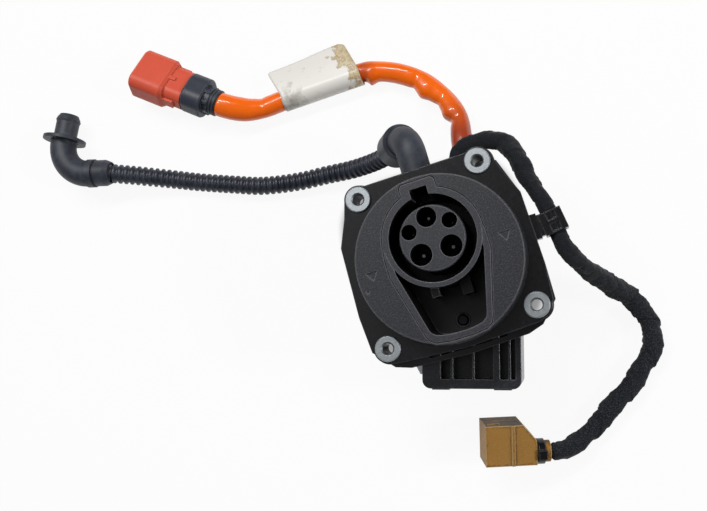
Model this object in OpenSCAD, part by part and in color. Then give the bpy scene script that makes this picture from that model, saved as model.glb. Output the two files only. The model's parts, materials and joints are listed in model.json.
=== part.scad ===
// Charge port inlet with lock actuator, drain hose and two cables
// Units: mm. Z runs out of the socket, the rear cap rests on Z = 0.

/* [Face and plate] */
// Height of the front face above the rear cap
face_z = 84; // [80:1:90]
// Radius of the round face disc
disc_r = 42.6; // [42:0.1:43.4]
// How far the disc spreads at its base
disc_draft = 1.2; // [0.6:0.1:1.6]
// How far the disc stands in front of the plate
disc_h = 10; // [8:0.5:12]
// Thickness of the mounting plate
plate_t = 6; // [5:0.5:7]
// Half the spacing of the upper sleeves
top_x = 32; // [31:0.5:33]
// Half the spacing of the lower sleeves
low_x = 39; // [38:0.5:40]
// Bore radius of a mounting sleeve
bolt_r = 2.8; // [2.6:0.1:3.3]
// Head radius of a mounting sleeve
sleeve_head_r = 6.7; // [6:0.1:7]

/* [Socket] */
// Radius of the socket bore
bore_r = 22.2; // [22:0.1:22.6]
// Radius of the pin carrier
carrier_r = 16.8; // [16.4:0.1:17]
// Thickness of the socket ring
ring_t = 2.6; // [2.2:0.1:3]
// Depth of the latch well
well_depth = 30; // [26:1:31]
// Radius of a line pin
line_r = 1.8; // [1.7:0.1:1.9]
// Radius of the earth pin
earth_r = 1.4; // [1.3:0.1:1.5]
// Radius of a signal pin
signal_r = 0.8; // [0.7:0.1:0.9]

/* [Lock] */
// Radius of the lock pin
lock_r = 3; // [2.6:0.1:3.2]
// Width of the lock actuator
act_w = 51.8; // [50:0.2:52]
// Turn of the lock actuator behind the plate, degrees
act_turn = 16.3; // [15:0.1:17]

/* [Hose and cables] */
// Radius of the drain hose
hose_r = 5.4; // [5:0.1:5.5]
// Outer radius of the drain elbow
elbow_r = 8; // [7.6:0.1:8.2]
// Radius of the orange cable sheath
cable_r = 6.4; // [6:0.1:6.5]
// Radius of the taped signal harness
harness_r = 4.8; // [4.4:0.1:4.9]
// Flange radius of the drain outlet
outlet_flange_r = 13; // [12:0.5:13]
// Spigot radius of the drain outlet
spigot_r = 7; // [6.6:0.1:7.3]
// Width of the high voltage connector hood
hood_w = 27.6; // [27:0.2:28.6]
// Height of the high voltage connector hood
hood_h = 20; // [19:0.5:20.5]

/* [Hidden] */
$fn = 64;
// clearances
seam_gap = 0.35;
slip_gap = 0.1;
hole_gap = 0.05;
eps = 0.5;

// plate and disc levels
disc_y = -10.6;
plate_front = face_z - disc_h;
plate_back = plate_front - plate_t;
skirt_h = 8;
skirt_z = plate_back - skirt_h;
boss_z = skirt_z - 4;
sleeve_r = 5;
sleeve_gap = 2.38;
corner_r = sleeve_head_r + 0.8;
sleeve_reach = disc_r + disc_draft + sleeve_gap + sleeve_head_r;
top_y = disc_y + sqrt(pow(sleeve_reach, 2) - pow(top_x, 2));
low_y = sqrt(pow(sleeve_reach, 2) - pow(low_x, 2)) - disc_y;
sleeves = [[-top_x, top_y], [top_x, top_y], [low_x, -low_y], [-low_x, -low_y]];

// socket levels
ring_r = bore_r + ring_t;
seam_r = ring_r + 0.9;
well_floor = face_z - well_depth;
floor_t = 4;
deck_z = well_floor - floor_t;
bore_floor = 44;
slab_z = 34;
barrel_z = 22;
chamber_r = ring_r - 2.9;
rear_wall = 4.7;
rear_in_r = ring_r + 0.5;
rear_r = rear_in_r + rear_wall;
deck_r = rear_r + 6.5;
collar_t = 4;
collar_r = disc_r - 2.6;
collar_z = plate_back - collar_t;
key_w = 9;
key_y = 26.3;
bump_w = 18.6;
bump_y = 30;

// pins
carrier_top = face_z - 0.6;
pin_tip = face_z - 10;
flange_z = 30;
hole_floor = 52;
lines = [[-7.85, -6.5], [7.85, -6.5]];
earth = [0, 11];
signals = [[-10.6, 6.1], [10.6, 6.1]];

// rear housing
cap_t = 8;
rear_top = deck_z - 2;
gland_x = 24;
gland_wall = 2.5;
gland_z = cap_t + cable_r + gland_wall + 0.1;
gland_y = 34;
gland_r = 11;
boot_r = 7.6;
boot_z = rear_top - 11;
boot_side = pow(gland_r + boot_r + 0.2, 2) - pow(boot_z - gland_z, 2);
boot_x = min(20, gland_x - sqrt(max(0, boot_side)));
ear_x = rear_r + 1.2;
rear_ears = [[ear_x, 11.4], [-ear_x, 11.4], [-ear_x, -11.4], [ear_x, -11.4]];
cap_holes = [for (a = [110, 190, 270, 350]) (rear_r - 2.3) * [cos(a), sin(a)]];
retainer_holes = [for (a = [30, 150, 270]) (chamber_r - 3.3) * [cos(a), sin(a)]];
collar_holes = [for (a = [26, 154, 206, 334]) [0, disc_y] + (collar_r - 4.4) * [cos(a), sin(a)]];

// lock actuator, in its own turned frame
act_x0 = -10.4;
act_x1 = act_x0 + act_w;
act_y0 = -77;
act_y1 = -rear_r - 3;
act_base = 18;
act_roof = 36;
lock_at = [12, -41];
lock_low = 26;
act_holes = [[3, -39.5], [21.5, -39.5]];
cover_holes = [[-7, -36.5], [38, -36.5], [-7, -73.4], [38, -73.4]];
pockets = [[-0.6, 4.6], [6, 15.9], [17.2, 26.8], [30.4, 34.7], [36, 38.4]];

// drain elbow: pipe along +Y, then down and to the left
drain_x = -0.4;
drain_z = deck_z + 8;
bend_r = 10;
drain_y = 48.6;
elbow_y = rear_r + 0.6;
drop = [-0.4, 0, -0.9165];
side = [0.9165, 0, -0.4];
bend_c = [drain_x + bend_r * drop[0], drain_y, drain_z + bend_r * drop[2]];
out_l = 10;
hose_start = bend_c + [0, bend_r, 0] + (out_l + 0.2) * drop;

// drain outlet, its flange on the floor
outlet_turn = 163.7;
outlet_lean = 7;
outlet_at = [-197.7, 109.3, outlet_flange_r + 2.6];
outlet_bend = 18;
outlet_stub = 0.4;
outlet_angle = 98;

// high voltage connector, leaning on one rounded edge
hood_edge = 6;
hv_lean = -24;
hv_z = (hood_h / 2 - hood_edge) * cos(hv_lean) - (hood_w / 2 - hood_edge) * sin(hv_lean) + hood_edge + 0.1;
hv_at = [-149, 159.1, hv_z];
hv_turn = -39.6;
neck_w = hood_w - 5;
hv_collar_w = hood_w - 4.6;
function hv_point(x) = hv_at + [x * cos(hv_turn), x * sin(hv_turn), 0];

// signal connector, leaning on the floor
sig_at = [2.4, -114.6, 24.8];
sig_z = [0.1960, -0.2150, 0.9567];
sig_x = unit([0.96, -0.281, 0] - ([0.96, -0.281, 0] * sig_z) * sig_z);
sig_y = cross(sig_z, sig_x);
neck_y = -5.2;
neck_z = -6;
function sig_point(x, y, z) = sig_at + x * sig_x + y * sig_y + z * sig_z;

// harness clip at the plate's right edge
clip_turn = 7.4;
lug_x = 51.6;
clip_at = [lug_x + 7.3, -8.5, skirt_z + 3.5];
function clip_point(y) = clip_at + [-y * sin(clip_turn), y * cos(clip_turn), 0];

label_z = cable_r + 0.8;

// routes, centre lines of the three cords
hose_route = [hose_start, hose_start + 5 * drop, [-17, 58.8, 25.6], [-27.4, 59.4, 17],
    [-41, 60.9, 10], [-57, 63.3, 6.4], [-75, 65.2, 5.5], [-96, 69.5, 5.5], [-113, 75.8, 5.5],
    [-133.5, 84, 5.8], [-150, 91.2, 7.2], [-163, 96.6, 10.4], [-176.4, 102, 13.7],
    outlet_point(9.4), outlet_point(0.8)];
cable_route = [[gland_x, 27, gland_z], [gland_x, 37, gland_z], [gland_x, 46, gland_z],
    [25.2, 56, 15.6], [26.6, 66, 12.2], [25.6, 75.6, 9.2], [21.2, 85.8, 7.4], [13, 97.4, 6.8],
    [1.2, 107.1, 6.9], [-10.8, 112.7, 7.2], [-19, 114.5, label_z], [-36, 114.5, label_z],
    [-53, 114.5, label_z], [-70, 114.5, label_z], [-82, 114.4, 7.5], [-91, 115.6, 9.2],
    [-98.6, 118.6, 11.6], hv_point(57),
    hv_point(50), hv_point(42)];
harness_route = [[boot_x, 27, boot_z], [boot_x, 35, boot_z], [21, 41.4, 37.4], [25.6, 46, 38.8],
    [33, 47.2, 41.4], [41, 45.4, 44.4], [47.4, 40.6, 47.8], [50.8, 32, 52], [53.4, 18, 58.6],
    clip_point(12), clip_point(0), clip_point(-12), [63.2, -28, 57.5], [68, -35, 46],
    [75, -42.6, 31], [83.4, -52, 17], [90, -61.6, 8.6], [93.2, -74, 5.8], [88.6, -87, 5.8],
    [77, -98.6, 5.8], [63, -108, 5.8], [52.4, -115.4, 5.8], [43.4, -121, 6.2], [35.2, -124.4, 8.2],
    sig_point(29, neck_y, neck_z), sig_point(15, neck_y, neck_z)];

// swept tubes
function unit(v) = v / norm(v);
function mix(a, b, c, d, t) = 0.5 * (2 * b + (c - a) * t + (2 * a - 5 * b + 4 * c - d) * t * t
    + (3 * b - a - 3 * c + d) * t * t * t);
function pick(p, i) = p[max(0, min(len(p) - 1, i))];
function smooth_path(p, n) = concat([for (i = [0 : len(p) - 2]) for (k = [0 : n - 1])
    mix(pick(p, i - 1), p[i], p[i + 1], pick(p, i + 2), k / n)], [p[len(p) - 1]]);
function heading(p, i) = unit(pick(p, i + 1) - pick(p, i - 1));
function carry(n, t) = unit(n - (n * t) * t);
function frames(p, i, n) = i == len(p) ? []
    : let (m = carry(n, heading(p, i))) concat([m], frames(p, i + 1, m));
module tube(route, r, n = 2, sides = 12) {
    p = smooth_path(route, n);
    f = frames(p, 0, [0.3, 0.2, 0.93]);
    pts = [for (i = [0 : len(p) - 1]) for (s = [0 : sides - 1])
        p[i] + r * (cos(360 * s / sides) * f[i] + sin(360 * s / sides) * cross(heading(p, i), f[i]))];
    rings = len(p);
    faces = concat([[for (s = [sides - 1 : -1 : 0]) s]],
        [[for (s = [0 : sides - 1]) (rings - 1) * sides + s]],
        [for (i = [0 : rings - 2]) for (s = [0 : sides - 1])
            [i * sides + s, i * sides + (s + 1) % sides, (i + 1) * sides + s]],
        [for (i = [0 : rings - 2]) for (s = [0 : sides - 1])
            [i * sides + (s + 1) % sides, (i + 1) * sides + (s + 1) % sides, (i + 1) * sides + s]]);
    polyhedron(points = pts, faces = faces, convexity = 6);
}

// outlines
module mirrored(half) {
    polygon(concat(half, [for (i = [len(half) - 1 : -1 : 0]) [-half[i][0], half[i][1]]]));
}
module round_rect(x0, y0, x1, y1, r) {
    translate([x0 + r, y0]) square([x1 - x0 - 2 * r, y1 - y0]);
    translate([x0, y0 + r]) square([x1 - x0, y1 - y0 - 2 * r]);
    for (x = [x0 + r, x1 - r]) for (y = [y0 + r, y1 - r]) translate([x, y]) circle(r = r);
}
module barrel_top(g) {
    intersection() {
        circle(r = seam_r + g);
        translate([-40, -g]) square([80, 40]);
    }
    round_rect(-bump_w / 2 - g, 0, bump_w / 2 + g, bump_y + g, 2.5);
}
module keyhole(g) {
    circle(r = seam_r + g);
    barrel_top(g);
    mirrored([[25.2 + g, 5], [26.2 + g, -4], [26.2 + g, -13], [17.2 + g, -46], [15.8 + g, -48.8 - g / 2],
        [13 + g / 2, -50.5 - g], [6, -51.5 - g]]);
}
module well_outline() {
    difference() {
        mirrored([[22.9, -9], [22.9, -12.3], [15, -43.2], [14, -45.4], [12, -46.9], [9, -47.7],
            [4, -48.4]]);
        circle(r = ring_r);
    }
}
module plate_outline() {
    mirrored([[30, 37.5], [39, 34], [42, 24], [48, 10], [49, -27], [47.5, -46], [39, -54.6], [0, -57]]);
    for (s = sleeves) translate(s) circle(r = corner_r);
}
module skirt_outline() {
    mirrored([[30, 36.5], [41, 30], [48, 10], [49, -27], [48.6, -46], [39, -56.4], [31, -59],
        [0, -60.5]]);
    for (s = sleeves) translate(s) circle(r = corner_r + 0.8);
}
module skirt_inside() {
    mirrored([[20, 33], [37.5, 21], [45, 9], [46, -27], [42.6, -36], [29.5, -49], [20, -57], [0, -57.4]]);
}
module turned_act() {
    rotate([0, 0, -act_turn]) children();
}
module along_y(x, y, z, r, h) {
    translate([x, y, z]) rotate([-90, 0, 0]) cylinder(r = r, h = h);
}
module screw(head_r, head_h, r, h) {
    // head below, shank upward
    translate([0, 0, -head_h]) difference() {
        cylinder(r = head_r, h = head_h);
        translate([0, 0, -eps]) cylinder(r = head_r * 0.45, h = head_h * 0.55 + eps, $fn = 6);
    }
    cylinder(r = r, h = h);
}

module mounting_flange() color("#1B1B1E") difference() {
    union() {
        translate([0, 0, plate_back]) linear_extrude(plate_t) plate_outline();
        translate([0, 0, skirt_z]) linear_extrude(skirt_h) difference() {
            skirt_outline();
            skirt_inside();
        }
        for (s = sleeves) translate([s[0], s[1], boss_z]) cylinder(r = corner_r + 0.5, h = plate_back - boss_z);
        translate([46.5, -15, skirt_z]) cube([lug_x - 46.5, 13, skirt_h]);
    }
    translate([0, 0, plate_back - eps]) linear_extrude(plate_t + 2 * eps) keyhole(seam_gap);
    for (s = sleeves) translate([s[0], s[1], boss_z - eps])
        cylinder(r = sleeve_r + hole_gap, h = plate_front - boss_z + 2 * eps);
    for (c = collar_holes) translate([c[0], c[1], plate_back - eps])
        cylinder(r = 1.5 + hole_gap, h = 4.8 + eps);
    translate([drain_x - elbow_r - 1, 24, skirt_z - eps]) cube([2 * elbow_r + 2, 24, drain_z + elbow_r + 2 - skirt_z + eps]);
}

module mounting_sleeves() color("#8E9698") for (s = sleeves) translate([s[0], s[1], 0]) difference() {
    union() {
        translate([0, 0, boss_z]) cylinder(r = sleeve_r, h = plate_front - boss_z);
        translate([0, 0, plate_front]) cylinder(r = sleeve_head_r, h = 0.9);
        translate([0, 0, plate_front + 0.9]) cylinder(r1 = sleeve_head_r, r2 = sleeve_head_r - 0.5, h = 0.5);
    }
    translate([0, 0, boss_z - eps]) cylinder(r = bolt_r, h = plate_front - boss_z + 3);
    translate([0, 0, plate_front + 0.7]) cylinder(r1 = bolt_r, r2 = bolt_r + 0.8, h = 0.8);
}

module face_disc() color("#3E3E42") difference() {
    union() {
        difference() {
            union() {
                translate([0, disc_y, plate_front]) cylinder(r1 = disc_r + disc_draft, r2 = disc_r, h = disc_h - 0.5);
                translate([0, disc_y, face_z - 0.5]) cylinder(r1 = disc_r, r2 = disc_r - 0.5, h = 0.5);
            }
            translate([0, disc_y, plate_front - eps])
                cylinder(r = disc_r - 2.4, h = disc_h - 2.6 + eps);
        }
        translate([0, 0, plate_front]) linear_extrude(disc_h) keyhole(1.2);
        intersection() {
            translate([0, 0, plate_front]) linear_extrude(disc_h - 1) keyhole(2.4);
            translate([0, disc_y, plate_front]) cylinder(r = disc_r - 1, h = disc_h - 1);
        }
    }
    translate([0, 0, plate_front - eps]) linear_extrude(disc_h + 2 * eps) keyhole(seam_gap);
    for (s = [-1, 1]) translate([s * 34.6, disc_y + 1, face_z - 0.7]) linear_extrude(1)
        polygon([[-3, 2.2], [3, 2.2], [0, -2.6]]);
    translate([-39, disc_y - 6, face_z - 0.6]) cylinder(r = 0.9, h = 1);
}

module key_slot() {
    translate([-key_w / 2, 0, well_floor]) cube([key_w, key_y, well_depth + eps]);
}
module drain_hole() {
    along_y(drain_x, 14, drain_z, 3.4, 28);
}
module socket_housing() color("#3A3A3E") difference() {
    union() {
        translate([0, 0, deck_z]) linear_extrude(face_z - deck_z) keyhole(0);
        translate([0, disc_y, collar_z]) cylinder(r = collar_r, h = collar_t);
        translate([0, 0, deck_z]) cylinder(r = deck_r, h = floor_t);
        along_y(drain_x, 18, drain_z, 5, 21);
    }
    translate([0, 0, deck_z - eps]) cylinder(r = ring_r + hole_gap, h = face_z);
    translate([0, 0, well_floor]) linear_extrude(face_z) barrel_top(hole_gap);
    difference() {
        translate([0, 0, well_floor]) linear_extrude(well_depth + eps) well_outline();
        translate([-9.6, -28.4, well_floor - eps]) cube([4.2, 8, well_depth - 9]);
        translate([5.4, -31, well_floor - eps]) cube([5.6, 10, well_depth - 14]);
    }
    drain_hole();
    translate([drain_x - elbow_r - 0.6, elbow_y - 0.2, deck_z - eps])
        cube([2 * elbow_r + 1.2, 20, floor_t + 2 * eps]);
    turned_act() translate([lock_at[0], lock_at[1], deck_z - eps]) cylinder(r = lock_r + slip_gap, h = floor_t + 2 * eps);
    turned_act() for (h = act_holes) translate([h[0], h[1], deck_z - eps]) cylinder(r = 1.5 + hole_gap, h = 3.2 + eps);
    for (c = collar_holes) translate([c[0], c[1], collar_z - eps]) cylinder(r = 1.5 + hole_gap, h = collar_t + 2 * eps);
    for (c = rear_ears) translate([c[0], c[1], deck_z - eps]) cylinder(r = 1.5 + hole_gap, h = 3.2 + eps);
}

module socket_barrel() color("#3A3A3E") difference() {
    union() {
        translate([0, 0, barrel_z]) cylinder(r = ring_r, h = face_z - barrel_z);
        translate([0, 0, well_floor]) linear_extrude(well_depth) barrel_top(0);
    }
    translate([0, 0, bore_floor]) cylinder(r = bore_r, h = face_z);
    translate([0, 0, slab_z - eps]) cylinder(r = carrier_r + hole_gap, h = bore_floor - slab_z + 2 * eps);
    translate([0, 0, barrel_z - eps]) cylinder(r = chamber_r, h = slab_z - barrel_z + eps);
    key_slot();
    drain_hole();
    for (c = retainer_holes) translate([c[0], c[1], slab_z - eps]) cylinder(r = 1.25 + hole_gap, h = 6 + eps);
}

module collar_screws() color("#6F7478") for (c = collar_holes) translate([c[0], c[1], collar_z])
    screw(2.8, 2.4, 1.5, 8.4);

module pin_bores(r, at, wide) {
    translate([at[0], at[1], hole_floor]) cylinder(r = wide, h = face_z);
    translate([at[0], at[1], 0]) cylinder(r = r + hole_gap, h = face_z);
}

module pin_carrier() color("#3E3E42") difference() {
    union() {
        translate([0, 0, slab_z]) cylinder(r = carrier_r, h = carrier_top - slab_z - 0.6);
        translate([0, 0, carrier_top - 0.6]) cylinder(r1 = carrier_r, r2 = carrier_r - 0.6, h = 0.6);
    }
    for (p = lines) pin_bores(line_r, p, 5.6);
    pin_bores(earth_r, earth, 5.1);
    for (p = signals) pin_bores(signal_r, p, 3.95);
}

module carrier_flange() color("#2F2F33") difference() {
    translate([0, 0, flange_z]) cylinder(r = chamber_r - slip_gap, h = slab_z - flange_z);
    for (p = lines) pin_bores(line_r, p, 5.6);
    pin_bores(earth_r, earth, 5.1);
    for (p = signals) pin_bores(signal_r, p, 3.95);
    for (c = retainer_holes) translate([c[0], c[1], flange_z - eps]) cylinder(r = 1.25 + hole_gap, h = 5);
}

module contact(r, at, barrel, tip) {
    translate([at[0], at[1], 0]) {
        translate([0, 0, flange_z - 0.5]) cylinder(r = r, h = tip - flange_z - 1.5);
        translate([0, 0, tip - 2]) cylinder(r1 = r, r2 = r * 0.5, h = 2);
        translate([0, 0, flange_z - 3.5]) cylinder(r = barrel + 0.6, h = 3.5);
        difference() {
            translate([0, 0, 14]) cylinder(r = barrel, h = flange_z - 17);
            translate([0, 0, 13]) cylinder(r = barrel - 0.6, h = 8);
        }
    }
}
module line_pins() color("#C9CCCE") for (p = lines) contact(line_r, p, 2.8, pin_tip);
module earth_pin() color("#C9CCCE") contact(earth_r, earth, 2.4, pin_tip);
module signal_pins() color("#C9CCCE") for (p = signals) contact(signal_r, p, 1.5, pin_tip - 6);

module retainer_bore(at, barrel) {
    translate([at[0], at[1], flange_z - 3.5]) cylinder(r = barrel + 0.6 + hole_gap, h = 5);
    translate([at[0], at[1], 10]) cylinder(r = barrel + hole_gap, h = 20);
}
module contact_retainer() color("#2B2B2E") difference() {
    translate([0, 0, flange_z - 6]) cylinder(r = chamber_r - slip_gap, h = 6);
    for (p = lines) retainer_bore(p, 2.8);
    retainer_bore(earth, 2.4);
    for (p = signals) retainer_bore(p, 1.5);
    for (c = retainer_holes) translate([c[0], c[1], 20]) cylinder(r = 1.25 + hole_gap, h = 12);
}

module retainer_screws() color("#6F7478") for (c = retainer_holes) translate([c[0], c[1], flange_z - 6])
    screw(2.1, 1.8, 1.25, 15);

module rear_housing() color("#1D1D20") difference() {
    union() {
        translate([0, 0, cap_t]) cylinder(r = rear_r, h = rear_top - cap_t);
        along_y(gland_x, 8, gland_z, cable_r + gland_wall, gland_y - 8);
        along_y(boot_x, 8, boot_z, boot_r + 0.2, gland_y - 8);
        for (c = rear_ears) translate([c[0], c[1], rear_top - 6]) cylinder(r = 4.4, h = 6);
    }
    translate([0, 0, cap_t - eps]) cylinder(r = rear_in_r, h = rear_top);
    along_y(gland_x, 4, gland_z, cable_r + 0.9, gland_y);
    along_y(boot_x, 4, boot_z, harness_r + 0.4, gland_y);
    for (c = rear_ears) translate([c[0], c[1], rear_top - 7]) cylinder(r = 1.5 + hole_gap, h = 9);
    for (c = cap_holes) translate([c[0], c[1], cap_t - eps]) cylinder(r = 1.5 + hole_gap, h = 10);
}

module rear_seal() color("#26262A") translate([0, 0, rear_top]) difference() {
    cylinder(r = rear_r - 0.4, h = deck_z - rear_top);
    translate([0, 0, -eps]) cylinder(r = rear_in_r, h = 4);
}

module rear_screws() color("#6F7478") for (c = rear_ears) translate([c[0], c[1], rear_top - 6])
    screw(2.8, 2.4, 1.5, 11);

module rear_cap() color("#1D1D20") difference() {
    union() {
        cylinder(r = rear_r, h = cap_t);
        translate([0, 0, cap_t]) cylinder(r = rear_in_r - 0.2, h = 3);
    }
    translate([0, 0, 3]) cylinder(r = rear_in_r - 3.3, h = 12);
    for (c = cap_holes) translate([c[0], c[1], -eps]) {
        cylinder(r = 1.5 + hole_gap, h = cap_t + 2);
        cylinder(r = 3 + hole_gap, h = 3.2 + eps);
    }
}

module cap_screws() color("#6F7478") for (c = cap_holes) translate([c[0], c[1], 3.2]) screw(2.8, 2.4, 1.5, 14);

module cable_gland() color("#17171A") translate([gland_x, gland_y, gland_z]) rotate([-90, 0, 0]) difference() {
    union() {
        cylinder(r = gland_r, h = 8);
        translate([0, 0, 8]) cylinder(r1 = gland_r, r2 = gland_r - 2.4, h = 3);
    }
    translate([0, 0, -eps]) cylinder(r = cable_r + 0.25, h = 14);
}

module cable_seal() color("#101012") translate([gland_x, gland_y - 5, gland_z]) rotate([-90, 0, 0]) difference() {
    cylinder(r = cable_r + 0.85, h = 5);
    translate([0, 0, -eps]) cylinder(r = cable_r + 0.1, h = 7);
}

module harness_boot() color("#17171A") translate([boot_x, gland_y, boot_z]) rotate([-90, 0, 0]) difference() {
    cylinder(r1 = boot_r, r2 = boot_r - 1.2, h = 4);
    translate([0, 0, -eps]) cylinder(r = harness_r + 0.35, h = 6);
}

module lock_actuator_housing() color("#1A1A1D") turned_act() difference() {
    union() {
        translate([0, 0, act_base]) linear_extrude(deck_z - act_base) round_rect(act_x0, act_y0, act_x1, act_y1, 4.5);
        translate([-5.5, act_y0 - 0.7, act_base + 4]) cube([9.2, 2, 26]);
        translate([27, act_y0 - 0.7, act_base + 4]) cube([9.2, 2, 26]);
    }
    difference() {
        translate([0, 0, act_base - eps]) linear_extrude(act_roof - act_base + eps)
            round_rect(act_x0 + 2.4, act_y0 + 2.4, act_x1 - 2.4, act_y1 - 2.4, 3);
        for (c = cover_holes) translate([c[0], c[1], 0]) cylinder(r = 3.4, h = deck_z);
    }
    for (p = pockets) translate([p[0], act_y0 + 5, act_roof + 3.5]) cube([p[1] - p[0], 24, deck_z]);
    translate([lock_at[0], lock_at[1], act_base]) cylinder(r = lock_r + slip_gap, h = deck_z);
    for (h = act_holes) translate([h[0], h[1], act_base]) cylinder(r = 1.5 + hole_gap, h = deck_z);
    for (c = cover_holes) translate([c[0], c[1], act_base - eps]) cylinder(r = 1.25 + hole_gap, h = 9);
}

module lock_actuator_cover() color("#1D1D20") turned_act() difference() {
    union() {
        translate([0, 0, act_base - 4]) linear_extrude(4) round_rect(act_x0, act_y0, act_x1, act_y1, 4.5);
        translate([0, 0, act_base]) linear_extrude(1.4) difference() {
            round_rect(act_x0 + 2.6, act_y0 + 2.6, act_x1 - 2.6, act_y1 - 2.6, 3);
            round_rect(act_x0 + 4.6, act_y0 + 4.6, act_x1 - 4.6, act_y1 - 4.6, 2);
            for (c = cover_holes) translate(c) circle(r = 3.6);
        }
    }
    for (c = cover_holes) translate([c[0], c[1], 0]) cylinder(r = 1.25 + hole_gap, h = act_base + 1);
}

module lock_cover_screws() color("#6F7478") turned_act() for (c = cover_holes)
    translate([c[0], c[1], act_base - 4]) screw(2.3, 1.8, 1.25, 12);

module lock_drive() color("#4A4D52") turned_act() union() {
    translate([-5.5, -68, act_base]) cube([22, 16, 16]);
    translate([16.5, -60, act_base + 8]) rotate([0, 90, 0]) cylinder(r = 7.6, h = 19);
    translate([lock_at[0] - 3, -56, act_base]) cube([6, 18, lock_low - act_base]);
}

module lock_pin() color("#9AA0A4") turned_act() translate([lock_at[0], lock_at[1], 0]) union() {
    translate([0, 0, lock_low]) cylinder(r = lock_r + 1.8, h = 3);
    translate([0, 0, lock_low + 3]) cylinder(r = lock_r, h = well_floor + 0.8 - lock_low - 3);
    translate([0, 0, well_floor + 0.8]) cylinder(r1 = lock_r, r2 = lock_r - 0.7, h = 0.7);
}

module lock_pin_seal() color("#101012") turned_act() translate([lock_at[0], lock_at[1], well_floor]) difference() {
    cylinder(r1 = lock_r + 1, r2 = lock_r + 0.7, h = 0.5);
    translate([0, 0, -eps]) cylinder(r = lock_r + slip_gap, h = 3);
}

module actuator_screws() color("#6F7478") turned_act() for (h = act_holes)
    translate([h[0], h[1], act_roof]) screw(2.8, 2.4, 1.5, deck_z - act_roof + 3);

module actuator_bracket() color("#B4BABD") turned_act() translate([0, 0, act_base - 7.5]) difference() {
    linear_extrude(3.5) polygon([[-22.5, -50], [-4, -50], [-4, -46], [36, -46], [40, -49], [40, -57],
        [36, -62], [-4, -62], [-10, -71.4], [-16.5, -71.4], [-22.5, -60]]);
    translate([-16, -54, -eps]) cylinder(r = 1.6, h = 5);
}

module drain_local() {
    multmatrix([[drop[0], 0, side[0], bend_c[0]], [drop[1], 1, side[1], bend_c[1]],
        [drop[2], 0, side[2], bend_c[2]], [0, 0, 0, 1]]) children();
}
module elbow_pipe(r, back, front) {
    translate([-bend_r, -back, 0]) rotate([-90, 0, 0]) cylinder(r = r, h = back);
    rotate_extrude(angle = 90, start = 90) translate([bend_r, 0]) circle(r = r);
    translate([0, bend_r, 0]) rotate([0, 90, 0]) cylinder(r = r, h = front);
}
module drain_elbow() color("#2B2C30") drain_local() difference() {
    elbow_pipe(elbow_r, drain_y - elbow_y, out_l);
    elbow_pipe(5 + hole_gap, drain_y - elbow_y + eps, out_l + eps);
}

module hose_cuff() color("#232428") drain_local() translate([0, bend_r, 0]) rotate([0, 90, 0]) difference() {
    translate([0, 0, 1]) cylinder(r = 10.4, h = 14);
    translate([0, 0, 0.5]) cylinder(r = elbow_r + hole_gap, h = out_l - 0.5);
    translate([0, 0, 0.5]) cylinder(r = hose_r + 0.25, h = 20);
}

module drain_hose() color("#3B3E45") tube(hose_route, hose_r);

function outlet_point(s) = outlet_at + [-s * cos(outlet_turn), -s * sin(outlet_turn), 0];
module outlet_local() {
    translate(outlet_at) rotate([0, 0, outlet_turn]) rotate([outlet_lean, 0, 0]) children();
}
module outlet_pipe(r, back, front) {
    translate([-back, 0, 0]) rotate([0, 90, 0]) cylinder(r = r, h = back);
    translate([0, -outlet_bend, 0]) rotate_extrude(angle = outlet_angle, start = 90 - outlet_angle)
        translate([outlet_bend, 0]) circle(r = r);
    translate([0, -outlet_bend, 0]) rotate([0, 0, -outlet_angle]) translate([0, outlet_bend, 0])
        translate([-0.3, 0, 0]) rotate([0, 90, 0]) cylinder(r = r + 0.3, h = front + 0.3);
}

module hose_end_sleeve() color("#232428") outlet_local() translate([-15 - outlet_stub, 0, 0]) rotate([0, 90, 0]) difference() {
    union() {
        cylinder(r1 = hose_r + 1.2, r2 = 8, h = 3.4);
        translate([0, 0, 3.4]) cylinder(r = 8, h = 6);
        translate([0, 0, 9]) cylinder(r = 7.4, h = 1.6);
        translate([0, 0, 10.6]) cylinder(r = 8.6, h = 4.4);
    }
    translate([0, 0, -eps]) cylinder(r = hose_r + 0.5, h = 17);
}

module drain_outlet() color("#26272B") outlet_local() difference() {
    union() {
        outlet_pipe(8, outlet_stub, outlet_stub + 0.6);
        translate([0, -outlet_bend, 0]) rotate([0, 0, -outlet_angle]) translate([outlet_stub, outlet_bend, 0]) rotate([0, 90, 0]) {
            cylinder(r = outlet_flange_r, h = 2);
            cylinder(r1 = outlet_flange_r - 0.7, r2 = spigot_r + 2, h = 3);
            cylinder(r = spigot_r, h = 15);
            translate([0, 0, 12]) cylinder(r1 = spigot_r, r2 = spigot_r + 0.5, h = 1.5);
            translate([0, 0, 13.5]) cylinder(r1 = spigot_r + 0.5, r2 = spigot_r - 1.2, h = 3.5);
        }
    }
    outlet_pipe(5, 4, 22);
}

module hv_cable() color("#F26A1B") tube(cable_route, cable_r);

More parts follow.
